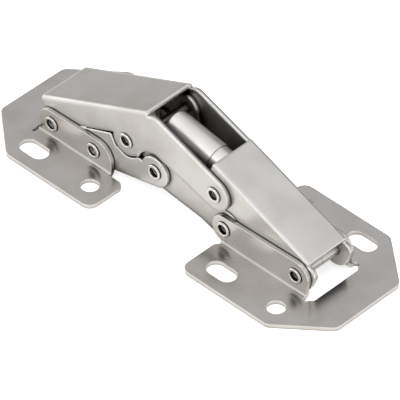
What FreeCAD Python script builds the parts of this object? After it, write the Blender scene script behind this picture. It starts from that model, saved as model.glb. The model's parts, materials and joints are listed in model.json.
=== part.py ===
import FreeCAD, Part

# A surface-mounted cabinet hinge with a spring piston, in nickel-plated sheet steel.
# Two flat base plates are joined by a folding linkage: a long folded cover, a short folded
# cover, two stop links and two long links, with a piston between them.
# Seven pivots on each side make one movement: the right plate turns through 90 degrees.
#
# Frame: +X runs along the opened hinge, +Y across it, +Z up. The origin is under the middle
# of the opened hinge, on the face that the plates are screwed to. Lengths in millimetres.
# Side shapes are drawn in the XZ plane and pushed out along Y.

import math
import os
from FreeCAD import Vector

# Pivot places, (x, z), with the hinge open
PIVOT_COVER_BASE = (-62.1, 7.3)
PIVOT_STOP_BASE = (-40.1, 7.6)
PIVOT_COVER_LONG = (-24.8, 20.5)
PIVOT_STOP_LONG = (-10.1, 14.1)
PIVOT_COVERS = (20.1, 21.6)
PIVOT_LONG_BASE = (25.2, 8.1)
PIVOT_SHORT_BASE = (61.2, 8.1)
PISTON_TOP = (-14.3, 30.0)
PISTON_FOOT = (34.0, 22.0)

# Sheets, and how they are layered away from the middle plane
SHEET = 1.6
PLATE_SHEET = 1.7
LAYER_GAP = 0.2
INNER_HALF = 8.6
BEND_INSIDE = 1.0
COVER_BEND = 1.4
COVER_END_BEND = 2.2
COVER_INSIDE_BEND = 0.4
SHORT_BEND = 0.9

# Base plates
PLATE_LENGTH = 63.0
PLATE_WIDTH = 66.0
PLATE_SPACE = 47.0
LEFT_PLATE_PAST = 0.6
PLATE_CUT_X = 19.6
PLATE_CUT_Y = 16.4
PLATE_CORNER = 4.0
FLANGE_CORNER = 3.0
WINDOW_CORNER = 2.0
RELIEF_RADIUS = 1.2
SLOT_RELIEF_WIDTH = 1.2
SLOT_RELIEF_LENGTH = 4.2
SLOT_RELIEF_PAST = 2.0
LEFT_EAR_BEHIND = 6.3
LEFT_EAR_AHEAD = 9.4
LEFT_EAR_RISE_BACK = 5.7
LEFT_EAR_RISE_FRONT = 6.1
LEFT_EAR_CORNER_BACK = 5.0
LEFT_EAR_CORNER_FRONT = 8.0
RIGHT_EAR_EYE_FRONT = 5.7
RIGHT_EAR_EYE_BACK = 6.5
RIGHT_EAR_FOOT = 5.6
RIGHT_WINDOW_BEHIND = 9.5

# Screw holes of a base plate: distances from its inner end and from the middle line
HOLE_RADIUS = 3.6
SLOT_RADIUS = 3.8
SLOT_LENGTH = 13.0
HOLE_ROW = 24.0
NEAR_SLOT = 12.4
NEAR_HOLE = 39.7
FAR_HOLE = 8.3
FAR_SLOT = 37.6

# Long cover: its top face slopes up from the left plate
COVER_SLOPE = 24.0
COVER_TOP = 10.85
COVER_BEHIND = 4.4
COVER_LENGTH = 61.1
COVER_LIP = 5.4
COVER_BASE_EYE = 6.3
COVER_BOSS = 6.5
COVER_ARM_EYE = 7.0
COVER_SHOULDER = (3.7, 1.9)
COVER_SHOULDER_RADIUS = 5.0
COVER_RECESS = 8.6
COVER_RECESS_EDGE = 66.0
COVER_ARM_OVERLAP = 8.2
COVER_ARM_STEP = 0.5
COVER_ARM_LOW_EDGE = ((12.0, -2.0), (6.6, -3.9), (1.3, -6.3))

# Short cover: its top face slopes down to the right plate
SHORT_SLOPE = 21.3
SHORT_TOP = 8.25
SHORT_BEFORE = 6.4
SHORT_BEYOND = 1.8
SHORT_EYE = 6.2
SHORT_BASE_EYE = 7.0
SHORT_NOSE = (6.8, 7.2)
SHORT_NOSE_RADIUS = 3.0
SHORT_NOSE_DROP = 1.0

# Links
STOP_BASE_EYE = 7.0
STOP_EYE = 6.5
STOP_CLEAR = 0.5
BOSS_CLEAR = 0.9
STOP_SHOULDER = (17.5, 31.5)
STOP_SHOULDER_RADIUS = 0.8
STOP_HOOK = (-5.5, -6.0)
STOP_NECK = (-7.9, 1.7)
LONG_EYE = 6.0
LONG_LOBE = 6.0
LONG_STOP_EYE = 5.5
LONG_BASE_EYE = 7.4
LONG_LOBE_EDGE = -6.0
LONG_WAIST = (18.3, 0.5)
LONG_BELLY = (1.9, -7.3)
LONG_HEEL = (-12.7, -3.7)
LONG_CORNER = 3.0
LONG_BELLY_START = 200.0

# Rivets and pins
SHANK_RADIUS = 2.4
SHANK_CLEAR = 0.03
HEAD_RADIUS = 3.3
HEAD_HEIGHT = 0.8
HEAD_RECESS = 2.0
HEAD_DEPTH = 2.0
HEAD_SHALLOW = 1.4
HEAD_ROUND = 0.45

# Piston: a cup that slides over a plunger, with a spring inside both
TOP_PIN_RADIUS = 2.0
SLEEVE_RADIUS = 6.0
SLEEVE_WALL = 0.4
SLEEVE_LENGTH = 23.0
SLEEVE_END = 1.0
SLEEVE_ROUND = 1.4
SLEEVE_GAP = 0.05
PLUNGER_CLEAR = 0.05
PLUNGER_BORE = 4.5
PLUNGER_LENGTH = 17.2
PLUNGER_START = 11.5
PLUNGER_FLOOR = 2.0
PLUNGER_CHAMFER = 0.8
NECK_HALF = 3.0
NECK_THICK = 5.8
RING_WIDTH = 1.6
RING_DEPTH = 0.6
RING_FROM_TOP = 2.4
SPRING_RADIUS = 3.7
SPRING_WIRE = 0.45
SPRING_TURNS = 9
SPRING_CLEAR = 0.05

# Seat block under the short cover, which holds the foot pin of the piston
FOOT_PIN_RADIUS = 1.8
SEAT_CHEEK = 3.1
SEAT_SPACE = 3.1
SEAT_BLOCK_START = 4.2
SEAT_BLOCK_LENGTH = 7.0
SEAT_BLOCK_DROP = 1.0
SEAT_EDGE = 0.6
SEAT_JOIN = 0.5

CUT_PAST = 1.0
FAR = 200.0


def at(point, y=0.0):
    """A point of the side view as a vector."""
    return Vector(point[0], y, point[1])


def moved(point, offset):
    return (point[0] + offset[0], point[1] + offset[1])


def distance(a, b):
    return math.hypot(b[0] - a[0], b[1] - a[1])


def polar(centre, radius, degrees):
    angle = math.radians(degrees)
    return (centre[0] + radius * math.cos(angle), centre[1] + radius * math.sin(angle))


def heading(a, b):
    """Direction from one point to another, in degrees."""
    return math.degrees(math.atan2(b[1] - a[1], b[0] - a[0]))


def tangent_point(start, centre, radius, side):
    """Where a line from start touches a circle: side 1 is left of the way there, -1 right."""
    reach = math.degrees(math.acos(radius / distance(start, centre)))
    return polar(centre, radius, heading(centre, start) - side * reach)


def corner(point, radius=0.0):
    return (point[0], point[1], radius)


def rounded_wire(corners, place):
    """A closed wire through corners (a, b, radius), each rounded with a tangent arc."""
    starts = []
    ends = []
    middles = []
    count = len(corners)
    for i in range(count):
        a, b, radius = corners[i]
        before = corners[i - 1][:2]
        after = corners[(i + 1) % count][:2]
        here = (a, b)
        if radius == 0:
            starts.append(here)
            ends.append(here)
            middles.append(None)
            continue
        back = heading(here, before)
        ahead = heading(here, after)
        half = math.radians(((ahead - back + 180) % 360 - 180) / 2)
        cut = radius / abs(math.tan(half))
        starts.append(polar(here, cut, back))
        ends.append(polar(here, cut, ahead))
        bisector = back + math.degrees(half)
        middles.append(polar(here, radius / abs(math.sin(half)) - radius, bisector))
    edges = []
    for i in range(count):
        if middles[i]:
            arc = Part.Arc(place(starts[i]), place(middles[i]), place(ends[i]))
            edges.append(arc.toShape())
        following = starts[(i + 1) % count]
        if distance(ends[i], following) > 1e-6:
            edges.append(Part.makeLine(place(ends[i]), place(following)))
    return Part.Wire(edges)


def outline(corners):
    """A face in the side view."""
    return Part.Face(rounded_wire(corners, at))


def plan(corners):
    """A face in the top view."""
    return Part.Face(rounded_wire(corners, lambda point: Vector(point[0], point[1], 0)))


def disc(centre, radius):
    return Part.Face(Part.Wire(Part.makeCircle(radius, at(centre), Vector(0, 1, 0))))


def union(shapes):
    joined = shapes[0]
    for shape in shapes[1:]:
        joined = joined.fuse(shape)
    return joined.removeSplitter()


def slab(faces, near, far):
    """Side shapes, joined, between two distances from the middle plane."""
    solids = []
    for face in faces:
        start = face.copy()
        start.translate(Vector(0, near, 0))
        solids.append(start.extrude(Vector(0, far - near, 0)))
    return union(solids)


def bar_along_y(centre, radius, near, far):
    return Part.makeCylinder(radius, far - near, at(centre, near), Vector(0, 1, 0))


def belt(first, first_radius, second, second_radius):
    """Faces that make the shape of a band drawn tight round two circles."""
    lean = math.degrees(math.acos((first_radius - second_radius) / distance(first, second)))
    along = heading(first, second)
    points = [
        polar(first, first_radius, along + lean), polar(second, second_radius, along + lean),
        polar(second, second_radius, along - lean), polar(first, first_radius, along - lean),
    ]
    middle = outline([corner(point) for point in points])
    return [middle, disc(first, first_radius), disc(second, second_radius)]


def drilled(solid, pivots, radius=SHANK_RADIUS + SHANK_CLEAR):
    for pivot in pivots:
        solid = solid.cut(bar_along_y(pivot, radius, -FAR, FAR))
    return solid


def mirrored(solid):
    return solid.mirror(Vector(0, 0, 0), Vector(0, 1, 0))


def whole(shape):
    """The one solid of a shape, without leftover seams."""
    solid = shape.removeSplitter()
    if solid.ShapeType == "Compound" and len(solid.Solids) == 1:
        solid = solid.Solids[0]
    return solid


# Layers, worked out from the middle outwards
inner_out = INNER_HALF + SHEET
middle_in = inner_out + LAYER_GAP
middle_out = middle_in + SHEET
right_ear_out = middle_in + PLATE_SHEET
left_ear_in = middle_out + LAYER_GAP
left_ear_out = left_ear_in + PLATE_SHEET


def ears(profile, inside):
    """Two ears folded up from a plate: a bent section, trimmed to the ear's side shape."""
    outside = inside + PLATE_SHEET
    bend_line = outside + BEND_INSIDE
    bend_height = PLATE_SHEET + BEND_INSIDE
    centre = Vector(-FAR, bend_line, bend_height)
    ring = Part.makeCylinder(bend_height, 2 * FAR, centre, Vector(1, 0, 0))
    ring = ring.cut(Part.makeCylinder(BEND_INSIDE, 2 * FAR, centre, Vector(1, 0, 0)))
    quarter = Part.makeBox(2 * FAR, bend_height, bend_height, Vector(-FAR, inside, 0))
    upright = Part.makeBox(2 * FAR, PLATE_SHEET, FAR, Vector(-FAR, inside, bend_height))
    section = union([ring.common(quarter), upright])
    ear = section.common(slab(profile, 0, FAR))
    return [ear, mirrored(ear)]


def plate_outline(side, bend_line, window_end, past):
    """A base plate's flat sheet: cut corners outside, and a slot from the inner end."""
    inner = PLATE_SPACE / 2
    outer = inner + PLATE_LENGTH
    half = PLATE_WIDTH / 2
    upper = [
        (outer, half - PLATE_CUT_Y, PLATE_CORNER),
        (outer - PLATE_CUT_X, half, PLATE_CORNER),
        (inner - past, half, PLATE_CORNER),
        (inner - past, bend_line, FLANGE_CORNER),
        (window_end, bend_line, WINDOW_CORNER),
    ]
    lower = [(x, -y, radius) for x, y, radius in reversed(upper)]
    return plan([(side * x, y, radius) for x, y, radius in upper + lower])


def screw_holes(side):
    """Round holes and slots, laid out so that one plate is the other turned half round."""
    inner = PLATE_SPACE / 2
    reach = SLOT_LENGTH / 2 - SLOT_RADIUS
    depth = PLATE_SHEET + 2 * CUT_PAST
    tools = []
    for distance_in, row in ((NEAR_HOLE, -HOLE_ROW), (FAR_HOLE, HOLE_ROW)):
        centre = Vector(side * (inner + distance_in), side * row, -CUT_PAST)
        tools.append(Part.makeCylinder(HOLE_RADIUS, depth, centre))
    for distance_in, row in ((NEAR_SLOT, -HOLE_ROW), (FAR_SLOT, HOLE_ROW)):
        x = side * (inner + distance_in)
        y = side * row
        ends = [Vector(x - reach, y, -CUT_PAST), Vector(x + reach, y, -CUT_PAST)]
        rounds = [Part.makeCylinder(SLOT_RADIUS, depth, end) for end in ends]
        start = Vector(x - reach, y - SLOT_RADIUS, -CUT_PAST)
        middle = Part.makeBox(2 * reach, 2 * SLOT_RADIUS, depth, start)
        tools.append(union(rounds + [middle]))
    return tools


def relief_slot(x, bend_line):
    """Narrow slots across both bend lines, where a back end of the ears leaves the sheet."""
    height = PLATE_SHEET + BEND_INSIDE + 2 * CUT_PAST
    start = Vector(x - SLOT_RELIEF_WIDTH / 2, bend_line + SLOT_RELIEF_PAST - SLOT_RELIEF_LENGTH,
                   -CUT_PAST)
    near = Part.makeBox(SLOT_RELIEF_WIDTH, SLOT_RELIEF_LENGTH, height, start)
    return [near, mirrored(near)]


def base_plate(side, ear_profile, ear_inside, ear_ends, window_end, past=0.0):
    bend_line = ear_inside + PLATE_SHEET + BEND_INSIDE
    flat = plate_outline(side, bend_line, side * window_end, past)
    plate = flat.extrude(Vector(0, 0, PLATE_SHEET))
    plate = union([plate] + ears(ear_profile, ear_inside))
    tools = screw_holes(side)
    relief_height = PLATE_SHEET + BEND_INSIDE + CUT_PAST
    for x in ear_ends:
        for y in (-bend_line, bend_line):
            tools.append(Part.makeCylinder(RELIEF_RADIUS, relief_height,
                                           Vector(x, y, -CUT_PAST)))
    for tool in tools:
        plate = plate.cut(tool)
    return plate


def left_base():
    back = PIVOT_COVER_BASE[0] - LEFT_EAR_BEHIND
    front = PIVOT_STOP_BASE[0] + LEFT_EAR_AHEAD
    profile = [outline([
        (back, 0, 0),
        (back, PIVOT_COVER_BASE[1] + LEFT_EAR_RISE_BACK, LEFT_EAR_CORNER_BACK),
        (front, PIVOT_STOP_BASE[1] + LEFT_EAR_RISE_FRONT, LEFT_EAR_CORNER_FRONT),
        (front, 0, 0),
    ])]
    slot_middle = back - SLOT_RELIEF_WIDTH / 2
    plate = base_plate(-1, profile, left_ear_in, (), slot_middle, LEFT_PLATE_PAST)
    for tool in relief_slot(slot_middle, left_ear_out + BEND_INSIDE):
        plate = plate.cut(tool)
    return whole(drilled(plate, (PIVOT_COVER_BASE, PIVOT_STOP_BASE)))


def right_base():
    front = PLATE_SPACE / 2 + RELIEF_RADIUS
    back = PIVOT_SHORT_BASE[0] + RIGHT_EAR_FOOT
    eyes = belt(PIVOT_LONG_BASE, RIGHT_EAR_EYE_FRONT, PIVOT_SHORT_BASE, RIGHT_EAR_EYE_BACK)
    foot = outline([
        (front, 0, 0),
        (back, 0, 0),
        corner(moved(PIVOT_SHORT_BASE, (RIGHT_EAR_FOOT, 0))), corner(PIVOT_LONG_BASE),
        corner(moved(PIVOT_LONG_BASE, (-RIGHT_EAR_EYE_FRONT / 2, -RIGHT_EAR_EYE_FRONT / 2))),
    ])
    profile = eyes + [foot]
    ear_ends = (front - RELIEF_RADIUS, back + RELIEF_RADIUS)
    window_end = PIVOT_SHORT_BASE[0] + RIGHT_WINDOW_BEHIND
    plate = base_plate(1, profile, middle_in, ear_ends, window_end)
    return whole(drilled(plate, (PIVOT_LONG_BASE, PIVOT_SHORT_BASE)))


def on_cover(along, up):
    """A point in the long cover's own directions, counted from its base pivot."""
    first = polar(PIVOT_COVER_BASE, along, COVER_SLOPE)
    return polar(first, up, COVER_SLOPE + 90)


def on_short(along, up):
    """A point in the short cover's own directions, counted from its base pivot."""
    first = polar(PIVOT_SHORT_BASE, along, -SHORT_SLOPE)
    return polar(first, up, 90 - SHORT_SLOPE)


def short_place(point):
    """A point of the side view in the short cover's own directions."""
    reach = distance(PIVOT_SHORT_BASE, point)
    turn = math.radians(heading(PIVOT_SHORT_BASE, point) + SHORT_SLOPE)
    return (reach * math.cos(turn), reach * math.sin(turn))


def edges_through(solid, points):
    """The edges of a solid that pass through given points."""
    found = []
    for point in points:
        vertex = Part.Vertex(point)
        found.append(min(solid.Edges, key=lambda edge: edge.distToShape(vertex)[0]))
    return found


def long_cover():
    """A sheet folded down along both sides and over its left end, with two arms."""
    end = COVER_LENGTH - COVER_BEHIND
    block = slab([outline([
        corner(on_cover(-COVER_BEHIND, 0)), corner(on_cover(end, 0)),
        corner(on_cover(end, COVER_TOP)), corner(on_cover(-COVER_BEHIND, COVER_TOP)),
    ])], -middle_out, middle_out)
    middle = end / 2
    top_left = on_cover(-COVER_BEHIND, COVER_TOP)
    side_points = [at(on_cover(middle, COVER_TOP), y) for y in (-middle_out, middle_out)]
    end_points = [at(on_cover(-COVER_BEHIND, COVER_TOP / 2), y) for y in (-middle_out, middle_out)]
    block = block.makeFillet(COVER_END_BEND, edges_through(block, [at(top_left)]))
    outer_edges = edges_through(block, side_points + end_points)
    block = block.makeFillet(COVER_BEND, outer_edges)
    under = COVER_TOP - SHEET
    hollow = slab([outline([
        corner(on_cover(-FAR, COVER_LIP)), corner(on_cover(SHEET - COVER_BEHIND, COVER_LIP)),
        (*on_cover(SHEET - COVER_BEHIND, under), COVER_END_BEND - SHEET),
        corner(on_cover(end + 1, under)), corner(on_cover(end + 1, -FAR)),
        corner(on_cover(-FAR, -FAR)),
    ])], -middle_in, middle_in)
    hollow_top = [at(on_cover(middle, under), y) for y in (-middle_in, middle_in)]
    hollow = hollow.makeFillet(COVER_INSIDE_BEND, edges_through(hollow, hollow_top))
    shell = block.cut(hollow)

    shoulder = on_cover(end + COVER_SHOULDER[0], COVER_TOP - COVER_SHOULDER[1])
    arm_top = tangent_point(shoulder, PIVOT_COVERS, COVER_ARM_EYE, 1)
    recess_edge = polar(PIVOT_STOP_LONG, COVER_RECESS, COVER_RECESS_EDGE)
    arm_low = tangent_point(recess_edge, PIVOT_COVERS, COVER_ARM_EYE, -1)
    arm_level = COVER_TOP - COVER_SHOULDER[1]
    arm = outline([
        corner(on_cover(end - COVER_ARM_OVERLAP, arm_level - COVER_ARM_STEP)),
        corner(on_cover(end, arm_level - COVER_ARM_STEP)), corner(on_cover(end, arm_level)),
        (*shoulder, COVER_SHOULDER_RADIUS),
        corner(arm_top), corner(PIVOT_COVERS), corner(arm_low), corner(recess_edge),
        *[corner(moved(PIVOT_COVER_LONG, offset)) for offset in COVER_ARM_LOW_EDGE],
        corner(PIVOT_COVER_LONG),
    ])
    near = slab([
        arm, disc(PIVOT_COVERS, COVER_ARM_EYE), disc(PIVOT_COVER_LONG, COVER_BOSS),
        disc(PIVOT_COVER_BASE, COVER_BASE_EYE),
    ], -middle_out, -middle_in)
    near = drilled(near, (PIVOT_STOP_LONG,), COVER_RECESS)
    cover = union([shell, near, mirrored(near)])
    return whole(drilled(cover, (PIVOT_COVER_BASE, PIVOT_COVER_LONG, PIVOT_COVERS)))


def short_cover():
    """A sheet folded down along both sides, open at both ends."""
    start = -distance(PIVOT_COVERS, PIVOT_SHORT_BASE) - SHORT_BEFORE
    block = slab([outline([
        corner(on_short(start, -SHORT_BASE_EYE)), corner(on_short(0, -SHORT_BASE_EYE)),
        corner(on_short(SHORT_BEYOND, 0)), corner(on_short(SHORT_BEYOND, SHORT_TOP)),
        corner(on_short(start, SHORT_TOP)),
    ])], -inner_out, inner_out)
    top_points = [at(on_short(start / 2, SHORT_TOP), y) for y in (-inner_out, inner_out)]
    block = block.makeFillet(SHORT_BEND, edges_through(block, top_points))
    under = SHORT_TOP - SHEET
    hollow = slab([outline([
        corner(on_short(start - 1, under)), corner(on_short(SHORT_BEYOND + 1, under)),
        corner(on_short(SHORT_BEYOND + 1, -FAR)), corner(on_short(start - 1, -FAR)),
    ])], -INNER_HALF, INNER_HALF)
    hollow_top = [at(on_short(start / 2, under), y) for y in (-INNER_HALF, INNER_HALF)]
    hollow = hollow.makeFillet(COVER_INSIDE_BEND, edges_through(hollow, hollow_top))
    shell = block.cut(hollow)
    nose = outline([
        corner(PIVOT_SHORT_BASE), corner(on_short(SHORT_BASE_EYE, 0)),
        (*on_short(*SHORT_NOSE), SHORT_NOSE_RADIUS),
        corner(on_short(0, SHORT_NOSE[1] - SHORT_NOSE_DROP)),
    ])
    near = slab([
        disc(PIVOT_COVERS, SHORT_EYE), disc(PIVOT_SHORT_BASE, SHORT_BASE_EYE), nose,
    ], -inner_out, -INNER_HALF)
    cover = union([shell, near, mirrored(near)])
    waist = moved(PIVOT_COVER_LONG, LONG_WAIST)
    link = belt(waist, STOP_CLEAR, PIVOT_LONG_BASE, LONG_BASE_EYE + STOP_CLEAR)
    cover = cover.cut(slab(link, -FAR, FAR))
    return whole(drilled(cover, (PIVOT_COVERS, PIVOT_SHORT_BASE)))


def stop_link():
    """The hooked link whose shoulder meets the long cover's edge when the hinge is open."""
    low_lean = math.degrees(math.acos(
        (STOP_BASE_EYE - STOP_EYE) / distance(PIVOT_STOP_BASE, PIVOT_STOP_LONG)))
    along = heading(PIVOT_STOP_BASE, PIVOT_STOP_LONG)
    body = outline([
        corner(on_cover(STOP_SHOULDER[0], -STOP_CLEAR)),
        (*on_cover(STOP_SHOULDER[1], -2 * STOP_CLEAR), STOP_SHOULDER_RADIUS),
        corner(moved(PIVOT_COVER_LONG, STOP_HOOK)),
        corner(moved(PIVOT_STOP_LONG, STOP_NECK)),
        corner(PIVOT_STOP_LONG),
        corner(polar(PIVOT_STOP_LONG, STOP_EYE, along - low_lean)),
        corner(polar(PIVOT_STOP_BASE, STOP_BASE_EYE, along - low_lean)),
        corner(polar(PIVOT_STOP_BASE, STOP_BASE_EYE, 180)),
    ])
    link = slab([
        body, disc(PIVOT_STOP_BASE, STOP_BASE_EYE), disc(PIVOT_STOP_LONG, STOP_EYE),
    ], -middle_out, -middle_in)
    link = drilled(link, (PIVOT_COVER_LONG,), COVER_BOSS + BOSS_CLEAR)
    return whole(drilled(link, (PIVOT_STOP_BASE, PIVOT_STOP_LONG)))


def long_link():
    """The inner link from the long cover to the right plate, with a lobe for the piston."""
    waist = moved(PIVOT_COVER_LONG, LONG_WAIST)
    heel = moved(PIVOT_LONG_BASE, LONG_HEEL)
    faces = [
        outline([
            corner(PIVOT_COVER_LONG), corner(PISTON_TOP),
            corner(polar(PISTON_TOP, LONG_LOBE, LONG_LOBE_EDGE)), (*waist, LONG_CORNER),
            corner(tangent_point(waist, PIVOT_LONG_BASE, LONG_BASE_EYE, 1)),
            corner(PIVOT_LONG_BASE),
            corner(tangent_point(heel, PIVOT_LONG_BASE, LONG_BASE_EYE, -1)),
            (*heel, LONG_CORNER), corner(moved(PIVOT_STOP_LONG, LONG_BELLY)),
            corner(polar(PIVOT_STOP_LONG, LONG_STOP_EYE, LONG_BELLY_START)),
        ]),
        *belt(PIVOT_COVER_LONG, LONG_EYE, PISTON_TOP, LONG_LOBE),
        *belt(PIVOT_COVER_LONG, LONG_EYE, PIVOT_STOP_LONG, LONG_STOP_EYE),
        disc(PIVOT_LONG_BASE, LONG_BASE_EYE),
    ]
    link = slab(faces, -inner_out, -INNER_HALF)
    link = drilled(link, (PIVOT_COVER_LONG, PIVOT_STOP_LONG, PIVOT_LONG_BASE))
    return whole(drilled(link, (PISTON_TOP,), TOP_PIN_RADIUS + SHANK_CLEAR))


def head(pivot, face_at, outward):
    """A tube rivet's rolled head, as a turned shape standing on the face at a distance."""
    turned = Part.makeCylinder(HEAD_RADIUS, HEAD_HEIGHT, Vector(0, 0, 0), Vector(0, 0, 1))
    rim = edges_through(turned, [Vector(0, HEAD_RADIUS, HEAD_HEIGHT)])
    turned = turned.makeFillet(HEAD_ROUND, rim)
    turned.rotate(Vector(0, 0, 0), Vector(1, 0, 0), -90 * outward)
    turned.translate(at(pivot, face_at))
    return turned


def rivet(pivot, near, far, recess_depth=HEAD_DEPTH, inner_head=True, outer_head=True):
    """A tube rivet through the layers between near and far, on the front side."""
    parts = [bar_along_y(pivot, SHANK_RADIUS, -far, -near)]
    if outer_head:
        parts.append(head(pivot, -far, -1))
    if inner_head:
        parts.append(head(pivot, -near, 1))
    solid = union(parts)
    outer = far + HEAD_HEIGHT if outer_head else far
    tool = bar_along_y(pivot, HEAD_RECESS, -outer, -outer + recess_depth)
    return whole(solid.cut(tool))


def through_pin(pivot, far, recess_depth=HEAD_DEPTH):
    """A pin across the hinge with a rolled head on each ear."""
    solid = union([
        bar_along_y(pivot, SHANK_RADIUS, -far, far), head(pivot, -far, -1), head(pivot, far, 1),
    ])
    for start in (-far - HEAD_HEIGHT, far + HEAD_HEIGHT - recess_depth):
        solid = solid.cut(bar_along_y(pivot, HEAD_RECESS, start, start + recess_depth))
    return whole(solid)


# The piston's own line, from its foot pin up to its top pin
piston_length = distance(PISTON_FOOT, PISTON_TOP)
piston_heading = heading(PISTON_FOOT, PISTON_TOP)
sleeve_top = piston_length - TOP_PIN_RADIUS - SLEEVE_GAP
sleeve_bore = SLEEVE_RADIUS - SLEEVE_WALL
plunger_radius = sleeve_bore - PLUNGER_CLEAR
plunger_top = PLUNGER_START + PLUNGER_LENGTH


def laid_on_line(solid):
    """Takes a shape drawn along +Z from the origin to the piston's line, foot first."""
    solid.rotate(Vector(0, 0, 0), Vector(0, 1, 0), 90 - piston_heading)
    solid.translate(at(PISTON_FOOT))
    return solid


def rod(radius, start, end):
    return Part.makeCylinder(radius, end - start, Vector(0, 0, start), Vector(0, 0, 1))


def sleeve():
    """A drawn cup with a rounded closed end, open towards the foot."""
    solid = rod(SLEEVE_RADIUS, sleeve_top - SLEEVE_LENGTH, sleeve_top)
    rim = edges_through(solid, [Vector(0, SLEEVE_RADIUS, sleeve_top)])
    solid = solid.makeFillet(SLEEVE_ROUND, rim)
    bore = rod(sleeve_bore, sleeve_top - SLEEVE_LENGTH - 1, sleeve_top - SLEEVE_END)
    rim = edges_through(bore, [Vector(0, sleeve_bore, sleeve_top - SLEEVE_END)])
    bore = bore.makeFillet(SLEEVE_ROUND - SLEEVE_WALL, rim)
    return laid_on_line(whole(solid.cut(bore)))


def plunger():
    """The sliding inner cup, with a ring groove near its mouth and a flat tongue at its foot."""
    body = rod(plunger_radius, PLUNGER_START, plunger_top)
    rim = edges_through(body, [Vector(0, plunger_radius, PLUNGER_START)])
    body = body.makeChamfer(PLUNGER_CHAMFER, rim)
    body = body.cut(rod(PLUNGER_BORE, PLUNGER_START + PLUNGER_FLOOR, plunger_top + 1))
    ring_start = plunger_top - RING_FROM_TOP - RING_WIDTH
    groove = rod(plunger_radius + 1, ring_start, ring_start + RING_WIDTH)
    groove = groove.cut(rod(plunger_radius - RING_DEPTH, ring_start, ring_start + RING_WIDTH))
    body = body.cut(groove)
    tongue = Part.makeBox(2 * NECK_HALF, NECK_THICK, PLUNGER_START + 0.5,
                          Vector(-NECK_HALF, -NECK_THICK / 2, 0))
    eye = Part.makeCylinder(NECK_HALF, NECK_THICK, Vector(0, -NECK_THICK / 2, 0), Vector(0, 1, 0))
    solid = union([body, tongue, eye])
    hole = Part.makeCylinder(FOOT_PIN_RADIUS + SHANK_CLEAR, NECK_THICK + 2,
                             Vector(0, -NECK_THICK / 2 - 1, 0), Vector(0, 1, 0))
    return laid_on_line(whole(solid.cut(hole)))


def plunger_ring():
    """The sliding ring in the plunger's groove."""
    start = plunger_top - RING_FROM_TOP - RING_WIDTH
    inner = plunger_radius - RING_DEPTH
    ring = rod(sleeve_bore - 0.02, start, start + RING_WIDTH)
    return laid_on_line(whole(ring.cut(rod(inner, start, start + RING_WIDTH))))


def spring():
    """A square-wire compression spring from the plunger's floor to the sleeve's end."""
    start = PLUNGER_START + PLUNGER_FLOOR + SPRING_WIRE + SPRING_CLEAR
    end = sleeve_top - SLEEVE_END - SPRING_WIRE - SPRING_CLEAR
    pitch = (end - start) / SPRING_TURNS
    path = Part.makeHelix(pitch, end - start, SPRING_RADIUS)
    path.translate(Vector(0, 0, start))
    slope = math.atan2(pitch, 2 * math.pi * SPRING_RADIUS)
    outwards = Vector(SPRING_WIRE, 0, 0)
    upwards = Vector(0, -math.sin(slope), math.cos(slope)) * SPRING_WIRE
    middle = Vector(SPRING_RADIUS, 0, start)
    points = [middle - outwards - upwards, middle + outwards - upwards,
              middle + outwards + upwards, middle - outwards + upwards]
    section = Part.makePolygon(points + points[:1])
    return laid_on_line(Part.Wire(path).makePipeShell([section], True, True))


def seat_block():
    """The block under the short cover that holds the foot pin between two cheeks."""
    lift = SHORT_TOP - SHEET
    along, up = short_place(PISTON_FOOT)
    start = along + SEAT_BLOCK_START
    bottom = up - SEAT_BLOCK_DROP
    profile = outline([
        corner(on_short(start, bottom)), corner(on_short(start + SEAT_BLOCK_LENGTH, bottom)),
        corner(on_short(start + SEAT_BLOCK_LENGTH, lift)), corner(on_short(start, lift)),
    ])
    block = slab([profile], -INNER_HALF, INNER_HALF)
    edges = [at(on_short(start + SEAT_BLOCK_LENGTH / 2, lift), y) for y in (-INNER_HALF, INNER_HALF)]
    block = block.makeChamfer(SEAT_EDGE, edges_through(block, edges))
    cheek = [
        disc(PISTON_FOOT, SEAT_CHEEK),
        outline([
            corner(on_short(along, bottom)), corner(on_short(start + SEAT_JOIN, bottom)),
            corner(on_short(start + SEAT_JOIN, lift - SEAT_EDGE)),
            corner(on_short(along, up + SEAT_CHEEK)),
        ]),
    ]
    near = slab(cheek, -INNER_HALF, -SEAT_SPACE)
    solid = union([block, near, mirrored(near)])
    return whole(drilled(solid, (PISTON_FOOT,), FOOT_PIN_RADIUS + SHANK_CLEAR))


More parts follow.
